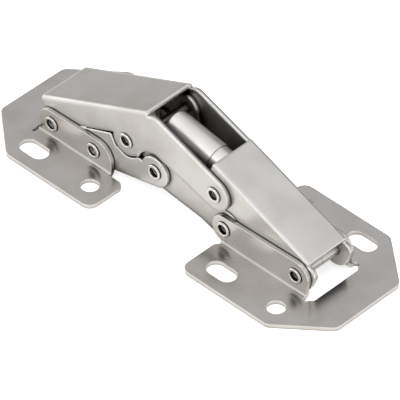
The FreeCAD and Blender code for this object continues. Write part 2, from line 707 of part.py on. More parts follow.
def main():
    os.makedirs("parts", exist_ok=True)
    nodes = {
        "base_plate_left": left_base(),
        "base_plate_right": right_base(),
        "long_cover": long_cover(),
        "short_cover": short_cover(),
        "base_pin_left": through_pin(PIVOT_COVER_BASE, left_ear_out, HEAD_SHALLOW),
        "base_pin_right": through_pin(PIVOT_SHORT_BASE, right_ear_out),
        "piston_sleeve": sleeve(),
        "piston_plunger": plunger(),
        "piston_ring": plunger_ring(),
        "piston_spring": spring(),
        "piston_seat": seat_block(),
        "piston_foot_pin": bar_along_y(PISTON_FOOT, FOOT_PIN_RADIUS, -INNER_HALF, INNER_HALF),
        "piston_top_pin": bar_along_y(PISTON_TOP, TOP_PIN_RADIUS, -inner_out, inner_out),
    }
    pairs = {
        "stop_link": stop_link(),
        "long_link": long_link(),
        "stop_base_rivet": rivet(PIVOT_STOP_BASE, middle_in, left_ear_out, HEAD_SHALLOW),
        "cover_link_rivet": rivet(PIVOT_COVER_LONG, INNER_HALF, middle_out),
        "cover_rivet": rivet(PIVOT_COVERS, INNER_HALF, middle_out),
        "stop_link_rivet": rivet(PIVOT_STOP_LONG, middle_in, middle_out, inner_head=False),
        "stop_link_bush": rivet(PIVOT_STOP_LONG, INNER_HALF, inner_out, outer_head=False),
        "link_base_rivet": rivet(PIVOT_LONG_BASE, middle_in, right_ear_out, inner_head=False),
        "link_base_bush": rivet(PIVOT_LONG_BASE, INNER_HALF, inner_out, outer_head=False),
    }
    for name, front in pairs.items():
        nodes[name + "_front"] = front
        nodes[name + "_back"] = mirrored(front)
    for name, shape in nodes.items():
        shape.exportStep("parts/" + name + ".step")
        print(name, len(shape.Solids), "valid", shape.isValid(), "volume", round(shape.Volume, 2))


main()
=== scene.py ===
# %% [markdown]
# # A piston hinge in satin nickel
#
# This file dresses the solids of a surface-mounted cabinet hinge for the camera. The sheets, the
# links and the piston come from the CAD model and stay where it puts them. What is made here is
# the finish of each metal, the rolled rivets, the coil spring, the studio and the camera.

# %% Load the hinge
import json
import math
import bmesh
import bpy
from mathutils import Matrix, Vector


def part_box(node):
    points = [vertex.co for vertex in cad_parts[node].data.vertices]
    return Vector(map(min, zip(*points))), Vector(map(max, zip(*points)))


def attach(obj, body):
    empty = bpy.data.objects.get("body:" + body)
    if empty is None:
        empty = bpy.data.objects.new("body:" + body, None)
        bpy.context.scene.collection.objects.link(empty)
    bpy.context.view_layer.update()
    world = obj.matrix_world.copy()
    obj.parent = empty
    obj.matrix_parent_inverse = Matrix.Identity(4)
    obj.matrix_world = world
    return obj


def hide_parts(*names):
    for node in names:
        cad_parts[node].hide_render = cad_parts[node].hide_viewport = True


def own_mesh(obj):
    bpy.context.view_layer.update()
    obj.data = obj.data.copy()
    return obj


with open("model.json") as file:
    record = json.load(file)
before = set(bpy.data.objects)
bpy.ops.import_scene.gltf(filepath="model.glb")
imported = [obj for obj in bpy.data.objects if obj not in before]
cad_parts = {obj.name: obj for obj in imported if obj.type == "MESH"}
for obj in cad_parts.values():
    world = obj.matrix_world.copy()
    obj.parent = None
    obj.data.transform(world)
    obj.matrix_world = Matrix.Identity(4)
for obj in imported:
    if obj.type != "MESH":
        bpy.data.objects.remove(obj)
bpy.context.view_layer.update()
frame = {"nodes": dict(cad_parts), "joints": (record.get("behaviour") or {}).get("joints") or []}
MM = 0.001
nodes = frame["nodes"]

# %% [markdown]
# ## The camera
#
# The photograph was taken from far away with a long lens, so its lines are almost parallel. A
# camera could be turned by eye until the picture fits. Here its place was worked out from the
# rivets and the corners of the plates: two metres from the hinge, forty-four degrees round from
# the front and forty-one degrees up. A camera looks along its own minus Z axis, so its three axes
# are worked out as vectors and put into one matrix, which avoids a chain of turns. The Standard
# view transform shows a colour as it is written, while Blender's default would grey the whites.

# %% Place the camera
AZIMUTH = math.radians(43.80)
ELEVATION = math.radians(41.37)
ROLL = math.radians(0.51)
CAMERA_DISTANCE = 1975.2 * MM
LOOK_AT = Vector((2.55, -0.88, 1.28)) * MM
SENSOR_WIDTH = 36.0      # in mm, as Blender counts a sensor
FOCAL_PIXELS = 5354.0    # the focal length in pixels of the photograph
IMAGE_PIXELS = 400.0
FAR_CLIP = 20.0          # in metres, past the far corner of the floor

level = math.cos(ELEVATION)
back = Vector((math.sin(AZIMUTH) * level, -math.cos(AZIMUTH) * level, math.sin(ELEVATION)))
sideways = Vector((math.cos(AZIMUTH), math.sin(AZIMUTH), 0))
upwards = back.cross(sideways)
right = math.cos(ROLL) * sideways + math.sin(ROLL) * upwards
up = math.cos(ROLL) * upwards - math.sin(ROLL) * sideways

lens = bpy.data.cameras.new("photo_camera")
lens.sensor_width = SENSOR_WIDTH
lens.lens = FOCAL_PIXELS / IMAGE_PIXELS * SENSOR_WIDTH
lens.clip_end = FAR_CLIP
camera = bpy.data.objects.new("photo_camera", lens)
bpy.context.scene.collection.objects.link(camera)
camera.matrix_world = Matrix.Translation(LOOK_AT + back * CAMERA_DISTANCE) @ Matrix(
    (right, up, back)).transposed().to_4x4()
bpy.context.scene.camera = camera
bpy.context.scene.view_settings.view_transform = "Standard"
print("lens:", round(lens.lens, 1), "mm")

# %% [markdown]
# ## Colours and a small tool for node trees
#
# A hex colour is written the way a screen shows it, which is not in proportion to the light.
# Blender's sockets want light in proportion, so every colour goes through one function. Each
# node tree in this file is written with the same helper: it adds a node, sets what is named, and
# joins the inputs that are given as other nodes' outputs. A Mix node keeps its colours under
# numbers, because its sockets share their names, so the numbers get names here.

# %% Helpers for colours and nodes
FACTOR = 0               # the sockets of a Mix node that is set to colours
FIRST = 6
SECOND = 7
MIXED = 2


def colour(hex_value):
    """An sRGB hex colour as linear red, green, blue and alpha."""
    channels = []
    for start in (1, 3, 5):
        value = int(hex_value[start:start + 2], 16) / 255
        channels.append(value / 12.92 if value <= 0.04045 else ((value + 0.055) / 1.055) ** 2.4)
    return (*channels, 1.0)


def add(tree, kind, settings=(), links=()):
    """Adds a node. Settings go to its properties or its inputs, and links join its inputs."""
    node = tree.nodes.new(kind)
    for name, value in dict(settings).items():
        if isinstance(name, str) and name not in node.inputs.keys():
            setattr(node, name, value)
        else:
            node.inputs[name].default_value = value
    for name, source in dict(links).items():
        tree.links.new(source, node.inputs[name])
    return node


print("the nickel's grey in linear light:", [round(part, 3) for part in colour("#CFCCC9")])

# %% [markdown]
# ## The grain of satin nickel
#
# The sheets are steel, tumbled after pressing and plated with a thin coat of nickel. Tumbling
# leaves a fine matt grain, so reflections are soft, but the plates still mirror the rivets beside
# them as dark blots. A picture of plating could be wrapped round the sheets, but it would show a
# seam at every bend. A noise in Object coordinates fills space like the grain of wood, so it runs
# over a bend without a seam, and its scale is a size in millimetres. The piston's tube was drawn
# through a die, which leaves fine lines along it. Those are a second noise, stretched along X,
# which lies within ten degrees of the tube's own line.

# %% Grain and drawn lines
GRAIN = 0.8              # in mm. The real 0.1 is too fine for the picture, so it is drawn coarser
GRAIN_DETAIL = 2.0


def surface_height(tree, place, lines):
    """The height of the grain, with drawn lines added where a metal has them."""
    grain = add(tree, "ShaderNodeTexNoise", {"Scale": 1 / (GRAIN * MM), "Detail": GRAIN_DETAIL},
                {"Vector": place.outputs["Object"]})
    if not lines:
        return grain.outputs["Fac"]
    stretch = add(tree, "ShaderNodeMapping", {"Scale": lines}, {"Vector": place.outputs["Object"]})
    marks = add(tree, "ShaderNodeTexNoise", {"Scale": 1 / MM, "Detail": GRAIN_DETAIL},
                {"Vector": stretch.outputs["Vector"]})
    both = add(tree, "ShaderNodeMath", {"operation": "ADD"},
               {0: grain.outputs["Fac"], 1: marks.outputs["Fac"]})
    return both.outputs[0]


print("grain of the sheets:", GRAIN, "mm")

# %% [markdown]
# ## Bright edges and dark corners
#
# The tumbler rubs every edge round and bright. Real rounds on thirty solids would cost many
# faces. A Bevel node instead gives each point the direction that a rounded edge would have, and
# that direction departs from the flat one only near an edge, which also tells where to mix in a
# lighter colour that is partly edge wear and partly painted highlight.
# Hollows and seams get painted shade in a dark colour. An Ambient Occlusion node measures how
# much of the sky a point sees within a given reach. A long reach finds hollows, such as the space
# round the piston, and a short one finds the seams between two sheets.

# %% Edges and corners
BEVEL_SAMPLES = 6
CORNER_SAMPLES = 8
ON_THE_FLAT = 0.995      # the cosine between the rounded and the flat direction, away from an edge
ON_THE_EDGE = 0.8
CREVICE = 1.5            # how far a seam's dark line reaches, in mm
CREVICE_SHUT = 0.4       # the share of the sky at which a seam is as dark as it gets
CREVICE_OPEN = 0.72
# the colour of the painted shade in hollows and seams
CORNER_SHADE = "#24211E"


def brighten_edges(tree, tone, edge_wear_and_highlight, rounded):
    """Mixes a lighter colour in, partly edge wear and partly painted highlight, near edges."""
    flat = add(tree, "ShaderNodeNewGeometry")
    same = add(tree, "ShaderNodeVectorMath", {"operation": "DOT_PRODUCT"},
               {0: rounded.outputs["Normal"], 1: flat.outputs["Normal"]})
    on_edge = add(tree, "ShaderNodeMapRange", {"From Min": ON_THE_FLAT, "From Max": ON_THE_EDGE},
                  {"Value": same.outputs["Value"]})
    return add(tree, "ShaderNodeMix", {"data_type": "RGBA", SECOND: colour(edge_wear_and_highlight)},
               {FACTOR: on_edge.outputs["Result"], FIRST: tone.outputs[MIXED]})


def paint_corner_shade(tree, tone, hollow, shut, open_sky):
    """Mixes painted shade in, in hollows of the given reach in mm and in every narrow seam."""
    for reach, least, most in ((hollow, shut, open_sky), (CREVICE, CREVICE_SHUT, CREVICE_OPEN)):
        sky = add(tree, "ShaderNodeAmbientOcclusion",
                  {"samples": CORNER_SAMPLES, "Distance": reach * MM})
        unshaded = add(tree, "ShaderNodeMapRange", {"From Min": least, "From Max": most},
                    {"Value": sky.outputs["AO"]})
        tone = add(tree, "ShaderNodeMix", {"data_type": "RGBA", FIRST: colour(CORNER_SHADE)},
                   {FACTOR: unshaded.outputs["Result"], SECOND: tone.outputs[MIXED]})
    return tone


print("seams darken within", CREVICE, "mm")

# %% [markdown]
# ## One recipe for every metal
#
# Handling and plating leave broad, faint patches on nickel. A patch is a little glossier or
# duller than its surroundings, and now and then a warm cloud lies on it. One noise drives both,
# so that gloss and colour change together as they do on the real sheet. The recipe is fully
# metallic with Blender's own index of refraction, and its colour is the colour of the mirror.

# %% The recipe of a metal
PATCH = 14.0             # patches left by handling, in mm
PATCH_DETAIL = 5.0
PATCH_START = 0.3        # the noise values between which a patch comes in
PATCH_END = 0.7
PATCH_GLOSS = 0.04       # how far a patch moves the roughness down or up
CLOUD = "#F6F5F3"        # what a cloud multiplies the colour by
CLOUD_START = 0.42
CLOUD_END = 0.62
GRAIN_STRENGTH = 0.5


def metal(name, base, edge_wear_and_highlight, roughness, grain_depth, edge, hollow, shut, open_sky, lines=None):
    """A plated or bare metal. The depth of grain, the edge and the hollow's reach are in mm."""
    material = bpy.data.materials.new(name)
    material.use_nodes = True
    tree = material.node_tree
    tree.nodes.clear()
    place = add(tree, "ShaderNodeTexCoord")
    patches = add(tree, "ShaderNodeTexNoise", {"Scale": 1 / (PATCH * MM), "Detail": PATCH_DETAIL},
                  {"Vector": place.outputs["Object"]})
    rounded = add(tree, "ShaderNodeBevel", {"samples": BEVEL_SAMPLES, "Radius": edge * MM})
    cloudy = add(tree, "ShaderNodeMapRange", {"From Min": CLOUD_START, "From Max": CLOUD_END},
                 {"Value": patches.outputs["Fac"]})
    tone = add(tree, "ShaderNodeMix", {"data_type": "RGBA", "blend_type": "MULTIPLY",
                                       FIRST: colour(base), SECOND: colour(CLOUD)},
               {FACTOR: cloudy.outputs["Result"]})
    # a lighter colour at the edges, partly wear and partly painted highlight
    tone = brighten_edges(tree, tone, edge_wear_and_highlight, rounded)
    # painted shade in hollows and seams
    tone = paint_corner_shade(tree, tone, hollow, shut, open_sky)
    matt = add(tree, "ShaderNodeMapRange",
               {"From Min": PATCH_START, "From Max": PATCH_END,
                "To Min": roughness - PATCH_GLOSS, "To Max": roughness + PATCH_GLOSS},
               {"Value": patches.outputs["Fac"]})
    bump = add(tree, "ShaderNodeBump", {"Strength": GRAIN_STRENGTH, "Distance": grain_depth * MM},
               {"Height": surface_height(tree, place, lines), "Normal": rounded.outputs["Normal"]})
    shader = add(tree, "ShaderNodeBsdfPrincipled", {"Metallic": 1.0},
                 {"Base Color": tone.outputs[MIXED], "Roughness": matt.outputs["Result"],
                  "Normal": bump.outputs["Normal"]})
    add(tree, "ShaderNodeOutputMaterial", (), {"Surface": shader.outputs["BSDF"]})
    return material


print("patches of", PATCH, "mm move the roughness by", PATCH_GLOSS)

# %% [markdown]
# ## The metals of this hinge
#
# All the sheets are the same nickel-plated steel, but they don't look the same. The flat plates
# are the glossiest. The covers are bent more, so their edges get a wider band of lighter colour,
# partly wear and partly painted highlight. The long cover and the long links lie round the greased
# piston, and a film of oil makes them duller; their hollows get deeper painted shade. The rolling
# tool leaves the rivets polished. One material for all would be simpler, but then nothing would
# tell the pieces apart, and six short recipes cost little.

# %% Mix the metals
# sheet steel, tumbled and plated, with a soft gloss that mirrors the rivets as blots
plate_nickel = metal("satin_nickel_plate", "#CFCCC9", "#FCFBFA", roughness=0.25,
                     grain_depth=0.004, edge=0.4, hollow=30.0, shut=0.0, open_sky=0.25)
# the same sheet after deeper bending, a little duller, with wide bends that are lightened
# as wear and painted highlight
cover_nickel = metal("satin_nickel_cover", "#CFCDCB", "#FCFBFA", roughness=0.30,
                     grain_depth=0.004, edge=1.1, hollow=30.0, shut=0.0, open_sky=0.3)
# the same sheet under a film of oil, with blurred reflections and deeper painted shade in hollows
oiled_nickel_deep_shade = metal("oiled_nickel_cover_deep_shade", "#CFCDCB", "#EFEEEC", roughness=0.38,
                     grain_depth=0.004, edge=2.0, hollow=30.0, shut=0.15, open_sky=0.6)
# nickel-plated steel polished by the rolling tool, with rims lightened as wear and painted
# highlight round recesses darkened with painted shade
rivet_nickel = metal("rolled_rivet_nickel", "#DAD8D5", "#F7F6F4", roughness=0.18,
                     grain_depth=0.003, edge=0.15, hollow=30.0, shut=0.2, open_sky=0.66)
# drawn steel tube, polished and plated bright, nearly white with a long soft highlight
polished_tube = metal("polished_tube", "#F6F5F3", "#FAFAF9", roughness=0.36,
                      grain_depth=0.002, edge=0.2, hollow=8.0, shut=0.0, open_sky=0.2,
                      lines=(0.02, 6.0, 6.0))
# bare steel wire and pins in oil, dark grey with little gloss
oiled_steel = metal("oiled_steel", "#6B6864", "#8C8984", roughness=0.4,
                    grain_depth=0.004, edge=0.1, hollow=4.0, shut=0.1, open_sky=0.5)
metals = (plate_nickel, cover_nickel, oiled_nickel_deep_shade, rivet_nickel, polished_tube, oiled_steel)
print("metals:", [mixed.name for mixed in metals])

# %% [markdown]
# ## The dark sliding ring
#
# A ring of moulded acetal plastic runs between the plunger and the sleeve. It is almost black,
# with the soft sheen of a moulded part. A plain colour would do for something so small. One noise
# in the roughness and the bump makes it read as plastic beside the metal, so it gets that.

# %% The plastic of the ring
RING_GRAIN = 0.5         # in mm, coarser than the real mould grain so that it shows
RING_GLOSS = 0.08        # how far the grain moves the roughness down or up
RING_GRAIN_DEPTH = 0.01  # in mm
RING_GRAIN_STRENGTH = 0.4
ACETAL_IOR = 1.48


def moulded_plastic(name, base, roughness):
    """A moulded plastic with a fine grain."""
    material = bpy.data.materials.new(name)
    material.use_nodes = True
    tree = material.node_tree
    tree.nodes.clear()
    place = add(tree, "ShaderNodeTexCoord")
    grain = add(tree, "ShaderNodeTexNoise",
                {"Scale": 1 / (RING_GRAIN * MM), "Detail": GRAIN_DETAIL},
                {"Vector": place.outputs["Object"]})
    matt = add(tree, "ShaderNodeMapRange",
               {"To Min": roughness - RING_GLOSS, "To Max": roughness + RING_GLOSS},
               {"Value": grain.outputs["Fac"]})
    bump = add(tree, "ShaderNodeBump",
               {"Strength": RING_GRAIN_STRENGTH, "Distance": RING_GRAIN_DEPTH * MM},
               {"Height": grain.outputs["Fac"]})
    shader = add(tree, "ShaderNodeBsdfPrincipled", {"Base Color": colour(base), "IOR": ACETAL_IOR},
                 {"Roughness": matt.outputs["Result"], "Normal": bump.outputs["Normal"]})
    add(tree, "ShaderNodeOutputMaterial", (), {"Surface": shader.outputs["BSDF"]})
    return material


acetal_ring = moulded_plastic("acetal_ring", "#17171A", 0.45)
print("plastic:", acetal_ring.name)

# %% [markdown]
# ## Finishes on the solids
#
# Each CAD solid keeps its mesh and gets a finish in its material slots. They could be given one by
# one. The name of a solid already says which piece of the hinge it is, so one function picks the
# finish from the name, and a new solid of the same family would get the right one too.

# %% Give each solid its finish
def finish_of(node):
    """The finish that a piece of the hinge has, by its name."""
    if node in ("piston_sleeve", "piston_plunger"):
        return polished_tube
    if node == "piston_ring":
        return acetal_ring
    if node in ("piston_spring", "piston_top_pin"):
        return oiled_steel
    if "rivet" in node or "bush" in node or "pin" in node.split("_"):
        return rivet_nickel
    if "plate" in node:
        return plate_nickel
    if node == "long_cover" or node.startswith("long_link"):
        return oiled_nickel_deep_shade
    return cover_nickel


for name, solid in nodes.items():
    solid.data.materials.clear()
    solid.data.materials.append(finish_of(name))
print("finished solids:", len(nodes))

# %% [markdown]
# ## Helpers for Geometry Nodes
#
# Rivets and coils repeat or follow a rule, so they are grown by node trees. A tree gets its sizes
# through named inputs. Blender stores a modifier's inputs under short identifiers, so the names
# are looked up in the tree's interface. Afterwards the result becomes a plain mesh and the
# modifier goes, because only plain meshes leave Blender safely.

# %% Grow a mesh from a tree
def new_tree(name, inputs):
    """An empty geometry tree with named inputs, given as pairs of a name and a socket type."""
    tree = bpy.data.node_groups.new(name, "GeometryNodeTree")
    tree.interface.new_socket("Geometry", in_out="INPUT", socket_type="NodeSocketGeometry")
    for label, kind in inputs:
        tree.interface.new_socket(label, in_out="INPUT", socket_type=kind)
    tree.interface.new_socket("Geometry", in_out="OUTPUT", socket_type="NodeSocketGeometry")
    return tree


def grown_mesh(tree, seed_mesh, values):
    """Runs a tree on a seed mesh with the given input values and returns a plain mesh."""
    seed = bpy.data.objects.new(tree.name, seed_mesh)
    bpy.context.scene.collection.objects.link(seed)
    modifier = seed.modifiers.new(tree.name, "NODES")
    modifier.node_group = tree
    for item in tree.interface.items_tree:
        if item.item_type == "SOCKET" and item.in_out == "INPUT" and item.name in values:
            modifier[item.identifier] = values[item.name]
    depsgraph = bpy.context.evaluated_depsgraph_get()
    plain = bpy.data.meshes.new_from_object(seed.evaluated_get(depsgraph))
    bpy.data.objects.remove(seed)
    return plain


print("trees can be grown")

# %% [markdown]
# ## Joining what moves together
#
# All the rivets of one body move as one, so they become one piece, with its faces turned outwards
# and its object at the origin, as the CAD solids are. Join in the interface does the same by
# hand, and a bmesh does it without selecting anything.

# %% Join plain meshes
def one_piece(name, meshes):
    """Joins plain meshes that share their finish into one object at the origin."""
    joined = bmesh.new()
    for mesh in meshes:
        joined.from_mesh(mesh)
    bmesh.ops.recalc_face_normals(joined, faces=joined.faces)
    whole = bpy.data.meshes.new(name)
    joined.to_mesh(whole)
    joined.free()
    whole.materials.append(meshes[0].materials[0])
    piece = bpy.data.objects.new(name, whole)
    bpy.context.scene.collection.objects.link(piece)
    return piece


print("pieces can be joined")

# %% [markdown]
# ## The outline of a rolled rivet
#
# Every joint of the hinge is a hollow rivet: a short tube whose end is rolled outwards over the
# sheet, so the head is a smooth ring with a round recess. In the CAD model the heads are plain
# stepped discs. A turned shape could be spun from a drawn curve. Here its outline is a line of
# eight points that an Index Switch puts in place from the sizes, and Fillet Curve rounds each
# corner by its own radius, so one tree makes every rivet of the hinge.

# %% Draw the rivet's outline
SIZES = ("Head Radius", "Head Height", "Recess Radius", "Recess Depth", "Shank Radius",
         "Shank Length")
CORNER_ROUNDS = (0.0, 0.3, 0.45, 0.5, 0.3, 0.05, 0.2, 0.0)      # in mm, from recess to shank end
ROUND_POINTS = 5


def switch(tree, kind, values):
    """A field that picks one of the values, or links, by the number of the point."""
    node = add(tree, "GeometryNodeIndexSwitch", {"data_type": kind})
    while len(node.index_switch_items) < len(values):
        node.index_switch_items.new()
    count = add(tree, "GeometryNodeInputIndex")
    tree.links.new(count.outputs["Index"], node.inputs["Index"])
    for number, value in enumerate(values):
        if isinstance(value, float):
            node.inputs[number + 1].default_value = value
        else:
            tree.links.new(value, node.inputs[number + 1])
    return node.outputs["Output"]


rivet_tree = new_tree("rolled_rivet", [(label, "NodeSocketFloat") for label in SIZES]
                      + [("Finish", "NodeSocketMaterial")])
given = add(rivet_tree, "NodeGroupInput").outputs
rim = add(rivet_tree, "ShaderNodeMath", {"operation": "MULTIPLY", 1: -1.0},
          {0: given["Head Height"]}).outputs[0]
bottom = add(rivet_tree, "ShaderNodeMath", {"operation": "ADD"},
             {0: rim, 1: given["Recess Depth"]}).outputs[0]
corners = []
for across, down in ((None, bottom), ("Recess Radius", bottom), ("Recess Radius", rim),
                     ("Head Radius", rim), ("Head Radius", None), ("Shank Radius", None),
                     ("Shank Radius", given["Shank Length"]), (None, given["Shank Length"])):
    links = {"X": given[across]} if across else {}
    links.update({"Y": down} if down else {})
    corners.append(add(rivet_tree, "ShaderNodeCombineXYZ", (), links).outputs["Vector"])
line = add(rivet_tree, "GeometryNodeCurvePrimitiveLine", {"End": (0, 0, 1)})
line = add(rivet_tree, "GeometryNodeResampleCurve", {"mode": "COUNT", "Count": len(corners)},
           {"Curve": line.outputs["Curve"]})
line = add(rivet_tree, "GeometryNodeSetPosition", (),
           {"Geometry": line.outputs["Curve"], "Position": switch(rivet_tree, "VECTOR", corners)})
rounds = switch(rivet_tree, "FLOAT", [radius * MM for radius in CORNER_ROUNDS])
outline = add(rivet_tree, "GeometryNodeFilletCurve",
              {"mode": "POLY", "Count": ROUND_POINTS, "Limit Radius": True},
              {"Curve": line.outputs["Geometry"], "Radius": rounds})
print("corners of the rivet's outline:", len(corners))

# %% [markdown]
# ## Turning the rivet and putting it in its place
#
# Curve to Mesh carries the outline round a tiny circle, as a lathe would, and the points that
# meet in the middle are merged so that the rivet is closed. The rest of the tree puts the turned
# rivet on every point of the seed mesh and turns it to the direction stored with that point. The
# copies are made real at the end, because an export drops instances.

# %% Turn the outline into a rivet
TURNED_SIDES = 40
AXIS_RADIUS = 0.01       # the circle that the outline is carried round, in mm
MERGE_REACH = 2.5        # in radii of that circle, enough to close its middle

circle = add(rivet_tree, "GeometryNodeCurvePrimitiveCircle",
             {"Resolution": TURNED_SIDES, "Radius": AXIS_RADIUS * MM})
turned = add(rivet_tree, "GeometryNodeCurveToMesh", (),
             {"Curve": circle.outputs["Curve"], "Profile Curve": outline.outputs["Curve"]})
turned = add(rivet_tree, "GeometryNodeMergeByDistance",
             {"Distance": MERGE_REACH * AXIS_RADIUS * MM}, {"Geometry": turned.outputs["Mesh"]})
turned = add(rivet_tree, "GeometryNodeSetShadeSmooth", (), {"Geometry": turned.outputs["Geometry"]})
outward = add(rivet_tree, "GeometryNodeInputNamedAttribute",
              {"data_type": "FLOAT_VECTOR", "Name": "outward"})
facing = add(rivet_tree, "FunctionNodeAlignRotationToVector", {"axis": "Z"},
             {"Vector": outward.outputs["Attribute"]})
placed = add(rivet_tree, "GeometryNodeInstanceOnPoints", (),
             {"Points": given["Geometry"], "Instance": turned.outputs["Geometry"],
              "Rotation": facing.outputs["Rotation"]})
placed = add(rivet_tree, "GeometryNodeRealizeInstances", (),
             {"Geometry": placed.outputs["Instances"]})
placed = add(rivet_tree, "GeometryNodeSetMaterial", (),
             {"Geometry": placed.outputs["Geometry"], "Material": given["Finish"]})
add(rivet_tree, "NodeGroupOutput", (), {"Geometry": placed.outputs["Geometry"]})
print("rivet tree:", len(rivet_tree.nodes), "nodes")

# %% [markdown]
# ## Where each rivet sits
#
# The place of a rivet could be typed in, but then it would stay behind when the model changes. It
# is read from the box of the CAD solid that the rivet stands for. A rivet with a head on both
# sides is made of two halves that meet inside the sheets, and so is each of the two pins that run
# right across the ends of the hinge. A bush has its own solid, so its rivet has one head only.

# %% Measure the rivets
HEAD_HEIGHT = 0.8
HAIR = 0.001             # in mm, less than any rivet lies off the middle of the hinge


def head_radius(node):
    """Half the height of the solid's box, because the head is its widest part."""
    low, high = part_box(node)
    return (high[2] - low[2]) / 2


def rivet_halves(node, recess, far_head):
    """Halves of one rivet: place, outward direction, recess depth and shank length."""
    low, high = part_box(node)
    middle_x = (low[0] + high[0]) / 2
    middle_z = (low[2] + high[2]) / 2
    side = 1 if low[1] + high[1] > HAIR * MM else -1
    outer, inner = (high[1], low[1]) if side > 0 else (low[1], high[1])
    face = outer - side * HEAD_HEIGHT * MM
    far_face = inner + side * HEAD_HEIGHT * MM if far_head else inner
    length = abs(face - far_face)
    if not far_head:
        return [((middle_x, face, middle_z), (0, side, 0), recess, length)]
    return [((middle_x, face, middle_z), (0, side, 0), recess, length / 2),
            ((middle_x, far_face, middle_z), (0, -side, 0), far_head, length / 2)]


print("radius of a head in mm:", round(head_radius("cover_rivet_front") / MM, 2))

# %% [markdown]
# ## Rivets on each moving body
#
# The rivets of a body become one piece that rides on it and takes the place of the plain CAD
# rivets. On the left plate the recesses are shallower than on the rest, as in the photograph, and
# the heads on the inner sheets are only dimpled.

# %% Roll the rivets
RECESS_RADIUS = 2.0
SHANK_RADIUS = 2.4
DEEP = 2.0               # depths of the recess, in mm
SHALLOW = 1.5
DIMPLE = 0.25


def roll_rivets(name, body, kinds):
    """One mesh of rivets for a body. Each kind is a node, its recess and its far head's recess."""
    meshes = []
    for node, recess, far_head in kinds:
        for place, direction, depth, length in rivet_halves(node, recess, far_head):
            seed = bpy.data.meshes.new(name + "_point")
            seed.from_pydata([place], [], [])
            seed.attributes.new("outward", "FLOAT_VECTOR", "POINT").data[0].vector = direction
            meshes.append(grown_mesh(rivet_tree, seed, {
                "Head Radius": head_radius(node), "Head Height": HEAD_HEIGHT * MM,
                "Recess Radius": RECESS_RADIUS * MM, "Recess Depth": depth * MM,
                "Shank Radius": SHANK_RADIUS * MM, "Shank Length": length,
                "Finish": rivet_nickel}))
    piece = one_piece(name, meshes)
    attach(piece, body)
    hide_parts(*[kind[0] for kind in kinds])
    print(name, "heads:", len(meshes), "faces:", len(piece.data.polygons))


roll_rivets("left_base_rivets", "left_base", [
    ("base_pin_left", SHALLOW, SHALLOW),
    ("stop_base_rivet_front", SHALLOW, DIMPLE), ("stop_base_rivet_back", SHALLOW, DIMPLE)])
roll_rivets("long_cover_rivets", "long_cover_body", [
    ("cover_link_rivet_front", DEEP, DIMPLE), ("cover_link_rivet_back", DEEP, DIMPLE),
    ("cover_rivet_front", DEEP, DIMPLE), ("cover_rivet_back", DEEP, DIMPLE)])
roll_rivets("stop_link_rivets", "stop_links", [
    ("stop_link_rivet_front", DEEP, None), ("stop_link_rivet_back", DEEP, None)])
roll_rivets("right_base_rivets", "right_base", [
    ("base_pin_right", DEEP, DEEP),
    ("link_base_rivet_front", DEEP, None), ("link_base_rivet_back", DEEP, None)])

# %% [markdown]
# ## The tree of the coil spring
#
# A compression spring pushes the sleeve and the plunger apart. It is wound from square wire. A
# Screw modifier could wind it, but the Spiral primitive is a coil by rule, with turns, a radius
# and a height. A small square is carried along it, and the coil is then laid on the piston's line.

# %% The spring's tree
COIL_POINTS = 48         # points in a turn of the coil

spring_tree = new_tree("wound_spring", [
    ("Turns", "NodeSocketFloat"), ("Coil Radius", "NodeSocketFloat"),
    ("Coil Height", "NodeSocketFloat"), ("Wire", "NodeSocketFloat"),
    ("Place", "NodeSocketVector"), ("Turn", "NodeSocketRotation"),
    ("Finish", "NodeSocketMaterial")])
given = add(spring_tree, "NodeGroupInput").outputs
coil = add(spring_tree, "GeometryNodeCurveSpiral", {"Resolution": COIL_POINTS},
           {"Rotations": given["Turns"], "Start Radius": given["Coil Radius"],
            "End Radius": given["Coil Radius"], "Height": given["Coil Height"]})
square = add(spring_tree, "GeometryNodeCurvePrimitiveQuadrilateral", (),
             {"Width": given["Wire"], "Height": given["Wire"]})
wire = add(spring_tree, "GeometryNodeCurveToMesh", {"Fill Caps": True},
           {"Curve": coil.outputs["Curve"], "Profile Curve": square.outputs["Curve"]})
laid = add(spring_tree, "GeometryNodeTransform", (),
           {"Geometry": wire.outputs["Mesh"], "Translation": given["Place"],
            "Rotation": given["Turn"]})
laid = add(spring_tree, "GeometryNodeRealizeInstances", (), {"Geometry": laid.outputs["Geometry"]})
laid = add(spring_tree, "GeometryNodeSetMaterial", (),
           {"Geometry": laid.outputs["Geometry"], "Material": given["Finish"]})
add(spring_tree, "NodeGroupOutput", (), {"Geometry": laid.outputs["Geometry"]})
print("spring tree:", len(spring_tree.nodes), "nodes")

# %% [markdown]
# ## The spring in its piston
#
# The spring fills the space from the plunger's floor to the end of the sleeve. When the real hinge
# folds, the sleeve slides over the plunger and the spring shortens to half its length; here the
# wound spring rides on the plunger at its full length. The foot of the piston and its line are
# read from the joints, so they agree with the motion.

# %% Wind the spring
joint_called = {joint["name"]: joint for joint in frame["joints"]}
PISTON_FOOT = Vector(joint_called["piston_foot_pivot"]["pos_m"])
SPRING_START = 13.55     # from the foot pin to the coil's two ends, in mm
SPRING_END = 45.86
SPRING_WIRE = 0.9
SPRING_RADIUS = 3.7
SPRING_TURNS = 9

along = Vector(joint_called["piston_slide"]["axis"]).normalized()
coil_height = SPRING_END - SPRING_START - SPRING_WIRE
spring_mesh = grown_mesh(spring_tree, bpy.data.meshes.new("spring_seed"), {
    "Turns": float(SPRING_TURNS), "Coil Radius": SPRING_RADIUS * MM,
    "Coil Height": coil_height * MM, "Wire": SPRING_WIRE * MM,
    "Place": PISTON_FOOT + along * (SPRING_START + SPRING_WIRE / 2) * MM,
    "Turn": along.to_track_quat("Z", "Y").to_euler(), "Finish": oiled_steel})
spring = one_piece("wound_spring", [spring_mesh])
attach(spring, "plunger_body")
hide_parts("piston_spring")
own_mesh(spring)
print("spring faces:", len(spring.data.polygons))

